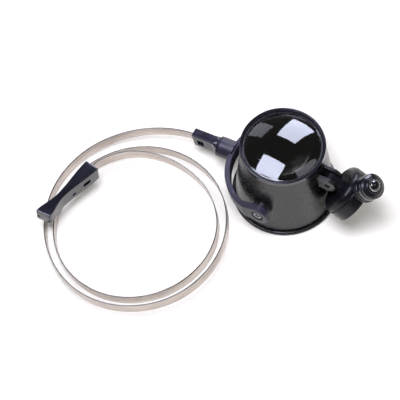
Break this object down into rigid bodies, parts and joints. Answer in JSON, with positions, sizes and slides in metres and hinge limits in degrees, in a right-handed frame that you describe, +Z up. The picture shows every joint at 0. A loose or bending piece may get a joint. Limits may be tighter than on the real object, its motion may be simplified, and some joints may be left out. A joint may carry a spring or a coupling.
{
  "type": "head-worn eye loupe with hinged lamp",
  "caption": "Conical eyecup with a magnifying lens, tilting in a half-ring yoke on a coiled spring-steel head band, with a small swinging battery lamp on its side.",
  "frame": {"origin": "centre of the eyecup's flat brim, in the plane it rests on", "axes": "+Z up the optical axis from the eye to the lens, -X towards the head band's connector, the tilt screws along Y, the lamp near +X"},
  "size_m": [0.1172, 0.0986, 0.0358],
  "materials": {
    "black_plastic": "satin",
    "lens_glass": "polished, coated",
    "steel_screw": "turned",
    "steel_band": "bright spring steel",
    "steel_pin": "ground",
    "washer_plastic": "smooth",
    "pad_plastic": "satin, bluish black",
    "cell_steel": "bright",
    "contact_brass": "plain",
    "board": "solder mask",
    "resistor_body": "matt",
    "bulb_resin": "clear resin",
    "wire": "tinned"
  },
  "bodies": {
    "cup": {"eyecup": "black_plastic", "front_bezel": "black_plastic", "lens": "lens_glass", "lens_spacer": "washer_plastic", "pivot_screws": "steel_screw", "friction_washers": "washer_plastic", "lamp_hinge_pin": "steel_pin"},
    "yoke": {"tilt_yoke": "black_plastic"},
    "band": {"band_connector": "black_plastic", "swivel_screw": "steel_screw", "head_band": "steel_band", "end_pad": "pad_plastic"},
    "lamp": {"lamp_arm": "black_plastic", "switch_board": "board", "resistor": "resistor_body", "contact_spring": "contact_brass"},
    "housing": {"battery_housing": "black_plastic", "coin_cells": "cell_steel", "contact_plate": "contact_brass", "lamp_barrel": "black_plastic", "lamp_nose": "black_plastic", "led_holder": "washer_plastic", "led": "bulb_resin", "led_leads": "wire"},
    "slider": {"switch_slider": "black_plastic"}
  },
  "joints": [
    {"name": "yoke_tilt", "type": "hinge", "parent": "cup", "child": "yoke", "pos_m": [0, 0, 0.014], "axis": [0, 1, 0], "range_deg": [-8, 34]},
    {"name": "connector_swivel", "type": "hinge", "parent": "yoke", "child": "band", "pos_m": [-0.02658, 0, 0.01056], "axis": [-0.9917, 0, -0.1284], "range_deg": [-30, 60]},
    {"name": "lamp_tilt", "type": "hinge", "parent": "cup", "child": "lamp", "pos_m": [0.01955, 0.00103, 0.024], "axis": [0.0523, -0.9986, 0], "range_deg": [0, 65]},
    {"name": "drum_twist", "type": "hinge", "parent": "lamp", "child": "housing", "pos_m": [0.02735, 0.00143, 0.01583], "axis": [-0.8375, -0.0439, 0.5446], "range_deg": [0, 25]},
    {"name": "switch_slide", "type": "hinge", "parent": "lamp", "child": "slider", "pos_m": [0.02735, 0.00143, 0.01583], "axis": [-0.8375, -0.0439, 0.5446], "range_deg": [-10, 0]}
  ]
}
